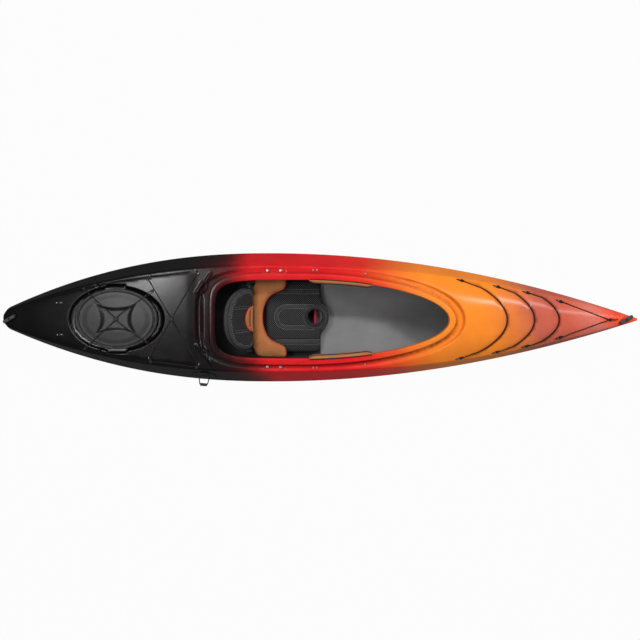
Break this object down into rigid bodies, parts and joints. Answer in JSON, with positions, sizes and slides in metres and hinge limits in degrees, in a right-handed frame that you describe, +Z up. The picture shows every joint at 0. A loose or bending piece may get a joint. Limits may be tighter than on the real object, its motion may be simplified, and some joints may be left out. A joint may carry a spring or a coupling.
{
  "type": "recreational kayak",
  "caption": "Sit-in recreational kayak: tapered hull, large oval cockpit, padded seat with folding backrest, oval stern hatch, elastic deck cords and foot braces.",
  "frame": {"origin": "middle of the keel's flat, on the surface that the boat rests on", "axes": "+X towards the bow, +Y to port, +Z up"},
  "size_m": [3.81, 0.812, 0.4363],
  "materials": {
    "black_mesh": "spacer mesh over foam",
    "black_plastic": "moulded, satin",
    "cord_black": "braided elastic cord",
    "deck_plastic": "satin polyethylene, dark stern blending to red and orange",
    "grey_foam": "closed-cell foam",
    "grey_grip": "ribbed, matte",
    "hull_plastic": "satin polyethylene, dark stern blending to red and orange",
    "lid_rubber": "moulded, matte",
    "rail_alloy": "extruded, plain",
    "red_webbing": "flat webbing",
    "steel": "stainless",
    "tan_pad": "woven cloth over foam"
  },
  "bodies": {
    "boat": {"arc_cord_1": "cord_black", "arc_cord_2": "cord_black", "arc_cord_3": "cord_black", "backrest_pin": "steel", "bow_bead": "black_plastic", "bow_cord": "cord_black", "bow_pillar": "grey_foam", "bulkhead": "grey_foam", "bungee_clip": "black_plastic", "cup_ring": "black_plastic", "deck": "deck_plastic", "foot_rail_port": "rail_alloy", "foot_rail_starboard": "rail_alloy", "front_eye_1_port": "black_plastic", "front_eye_1_starboard": "black_plastic", "front_eye_2_port": "black_plastic", "front_eye_2_starboard": "black_plastic", "front_eye_3_port": "black_plastic", "front_eye_3_starboard": "black_plastic", "front_eye_4_port": "black_plastic", "front_eye_4_starboard": "black_plastic", "hatch_gasket": "lid_rubber", "hatch_peg_aft_port": "black_plastic", "hatch_peg_aft_starboard": "black_plastic", "hatch_peg_fore_port": "black_plastic", "hatch_peg_fore_starboard": "black_plastic", "hip_bolster": "tan_pad", "hull": "hull_plastic", "keeper_bracket": "black_plastic", "leg_lift_strap": "red_webbing", "rear_bungee": "cord_black", "rear_eye_aft_port": "black_plastic", "rear_eye_aft_starboard": "black_plastic", "rear_eye_fore_port": "black_plastic", "rear_eye_fore_starboard": "black_plastic", "seat_base_pad": "black_mesh", "seat_bolt_front_port": "steel", "seat_bolt_front_starboard": "steel", "seat_bolt_rear_port": "steel", "seat_bolt_rear_starboard": "steel", "seat_pan": "black_plastic", "stern_eye_port": "black_plastic", "stern_eye_starboard": "black_plastic", "thigh_pad_port": "tan_pad", "thigh_pad_starboard": "tan_pad"},
    "hatch_lid": {"hatch_lid": "lid_rubber", "lid_cord_port": "cord_black", "lid_cord_starboard": "cord_black"},
    "backrest": {"backrest_board": "black_plastic", "backrest_pad": "black_mesh", "lumbar_tab": "tan_pad"},
    "pedal_port": {"foot_pedal_port": "black_plastic"},
    "pedal_starboard": {"foot_pedal_starboard": "black_plastic"},
    "lever_port": {"pedal_lever_port": "black_plastic"},
    "lever_starboard": {"pedal_lever_starboard": "black_plastic"},
    "bow_toggle": {"bow_toggle": "grey_grip", "bow_toggle_cord": "cord_black"},
    "stern_toggle": {"stern_toggle": "grey_grip", "stern_toggle_cord": "cord_black"},
    "keeper_loop": {"keeper_loop": "cord_black"}
  },
  "joints": [
    {"name": "hatch_lift", "type": "slide", "parent": "boat", "child": "hatch_lid", "axis": [0, 0, 1], "range_m": [0, 0.15]},
    {"name": "backrest_recline", "type": "hinge", "parent": "boat", "child": "backrest", "pos_m": [-0.425, 0, 0.205], "axis": [0, 1, 0], "range_deg": [-15, 70]},
    {"name": "pedal_slide_port", "type": "slide", "parent": "boat", "child": "pedal_port", "axis": [0.9874, -0.1585, 0], "range_m": [-0.14, 0.2]},
    {"name": "lever_tip_port", "type": "hinge", "parent": "pedal_port", "child": "lever_port", "pos_m": [0.53038, 0.27988, 0.14], "axis": [0.1585, 0.9874, 0], "range_deg": [0, 30]},
    {"name": "pedal_slide_starboard", "type": "slide", "parent": "boat", "child": "pedal_starboard", "axis": [0.9874, 0.1585, 0], "range_m": [-0.14, 0.2]},
    {"name": "lever_tip_starboard", "type": "hinge", "parent": "pedal_starboard", "child": "lever_starboard", "pos_m": [0.53038, -0.27988, 0.14], "axis": [-0.1585, 0.9874, 0], "range_deg": [0, 30]},
    {"name": "bow_toggle_lift", "type": "slide", "parent": "boat", "child": "bow_toggle", "axis": [0, 0, 1], "range_m": [0, 0.035]},
    {"name": "stern_toggle_lift", "type": "slide", "parent": "boat", "child": "stern_toggle", "axis": [0, 0, 1], "range_m": [0, 0.035]},
    {"name": "keeper_swing", "type": "hinge", "parent": "boat", "child": "keeper_loop", "pos_m": [-0.70117, -0.36402, 0.206], "axis": [0.9962, -0.0854, -0.0162], "range_deg": [-85, 10]}
  ]
}
